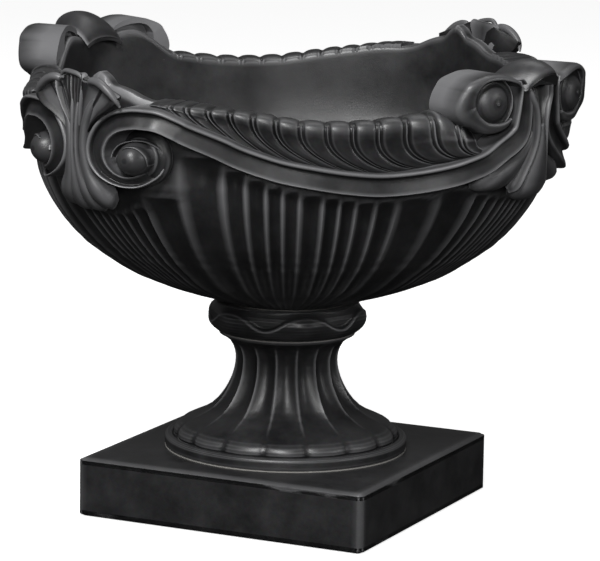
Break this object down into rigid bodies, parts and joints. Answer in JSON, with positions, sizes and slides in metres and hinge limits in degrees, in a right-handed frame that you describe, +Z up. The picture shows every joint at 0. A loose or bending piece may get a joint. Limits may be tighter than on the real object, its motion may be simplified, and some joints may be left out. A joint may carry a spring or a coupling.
{
  "type": "urn planter",
  "caption": "Cast-stone garden urn: square plinth, fluted foot, ribbon collar and a wide reeded bowl with scrolls, gadroons and leaf clasps round its waved rim.",
  "frame": {"origin": "middle of the plinth's underside", "axes": "+Z up the urn's axis; -Y is the side of the bowl that faces the camera, with a downward scroll on its left; the square plinth is turned 30 degrees about Z"},
  "size_m": [0.535, 0.535, 0.4714],
  "materials": {
    "cast_stone": "charcoal cast stone, matt with rubbed edges",
    "bedding": "grey jointing compound, matt",
    "zinc_steel": "zinc-plated steel",
    "seal_rubber": "black rubber"
  },
  "bodies": {
    "root": {"plinth": "cast_stone", "plinth_bedding": "bedding", "fluted_foot": "cast_stone", "collar_bedding": "bedding", "ribbon_collar": "cast_stone", "bowl_bedding": "bedding", "bowl": "cast_stone", "scroll_band_front": "cast_stone", "gadroon_lip_front": "cast_stone", "scroll_band_right": "cast_stone", "gadroon_lip_right": "cast_stone", "scroll_band_back": "cast_stone", "gadroon_lip_back": "cast_stone", "scroll_band_left": "cast_stone", "gadroon_lip_left": "cast_stone", "leaf_clasp_front_left": "cast_stone", "leaf_clasp_front_right": "cast_stone", "leaf_clasp_back_right": "cast_stone", "leaf_clasp_back_left": "cast_stone", "drain_tie_tube": "zinc_steel", "lower_locknut": "zinc_steel", "lower_washer": "zinc_steel", "upper_washer": "zinc_steel", "upper_locknut": "zinc_steel", "seal_washer": "seal_rubber"}
  },
  "joints": []
}
